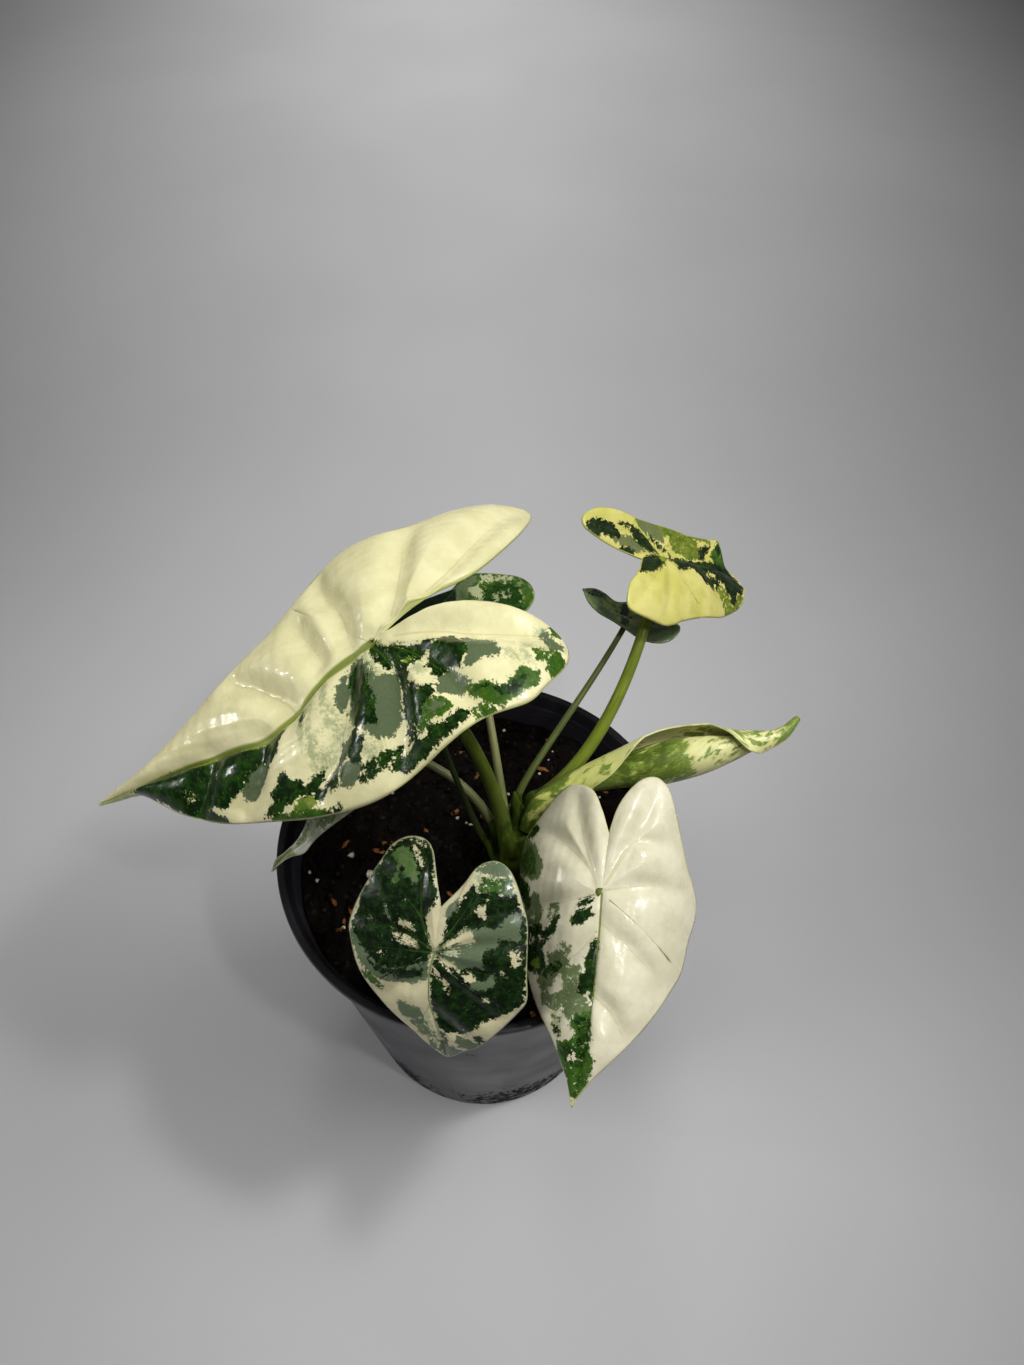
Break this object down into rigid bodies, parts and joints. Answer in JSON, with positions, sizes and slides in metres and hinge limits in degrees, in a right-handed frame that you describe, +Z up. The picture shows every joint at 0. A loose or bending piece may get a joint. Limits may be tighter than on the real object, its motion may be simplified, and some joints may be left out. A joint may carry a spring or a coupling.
{
  "type": "potted alocasia",
  "caption": "Potted variegated alocasia with arrow-shaped marbled leaves on long stalks, a furled young leaf, dark soil and a tapered black nursery pot.",
  "frame": {"origin": "middle of the pot's underside, on the ground", "axes": "+Z up through the pot; +X to the furled leaf's side; -Y is the side that the picture was taken from"},
  "size_m": [0.2724, 0.2039, 0.2711],
  "materials": {
    "pot_plastic": "semi-gloss moulded black plastic",
    "potting_mix": "loose dark potting mix with perlite and bark",
    "sheath": "smooth olive green sheaths",
    "petiole": "smooth olive green stalk",
    "cream_blade": "satin cream blade marbled green",
    "green_blade": "satin dark green blade marbled cream",
    "yellow_blade": "satin yellow-green blade marbled dark green",
    "grey_blade": "dark grey-green blade",
    "pale_blade": "thin whitish blade",
    "young_blade": "soft yellow-green rolled blade"
  },
  "bodies": {
    "root": {"pot": "pot_plastic", "potting_soil": "potting_mix", "crown": "sheath", "furled_leaf": "young_blade", "blade_1": "cream_blade", "petiole_1": "petiole", "blade_2": "green_blade", "petiole_2": "petiole", "blade_3": "yellow_blade", "petiole_3": "petiole", "blade_4": "grey_blade", "petiole_4": "petiole", "blade_6": "cream_blade", "petiole_6": "petiole", "blade_7": "green_blade", "petiole_7": "petiole", "blade_8": "pale_blade", "petiole_8": "petiole", "blade_9": "green_blade", "petiole_9": "petiole"}
  },
  "joints": []
}
